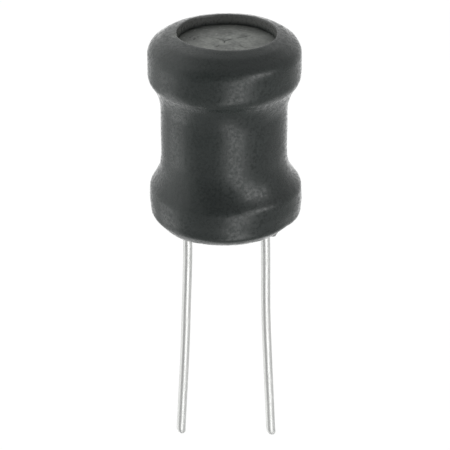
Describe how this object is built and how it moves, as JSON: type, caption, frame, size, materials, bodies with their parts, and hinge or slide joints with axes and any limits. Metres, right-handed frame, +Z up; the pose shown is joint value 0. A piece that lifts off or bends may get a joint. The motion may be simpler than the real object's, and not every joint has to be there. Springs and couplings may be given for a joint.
{
  "type": "choke coil",
  "caption": "Radial-lead choke coil: a wire-wound ferrite drum core in a black heat-shrink sleeve that draws in to a waist over the winding, with tinned leads for a circuit board.",
  "frame": {"origin": "on the board's face, under the sleeve's lower lip, midway between the leads", "axes": "+Z up along the core, +X from the left lead to the right lead, leads point down -Z, +Y to the back"},
  "size_m": [0.0094, 0.0094, 0.0287],
  "materials": {
    "ferrite": "sintered, dry and matt",
    "enamelled_copper": "glossy varnish over copper",
    "tinned_wire": "bright tin plating",
    "epoxy": "cured adhesive",
    "solder": "satin solder",
    "shrink_tubing": "satin black shrunk tubing"
  },
  "bodies": {
    "root": {"drum_core": "ferrite", "winding": "enamelled_copper", "lead_left": "tinned_wire", "lead_right": "tinned_wire", "lead_bond_left": "epoxy", "lead_bond_right": "epoxy", "solder_left": "solder", "solder_right": "solder", "shrink_sleeve": "shrink_tubing"}
  },
  "joints": []
}
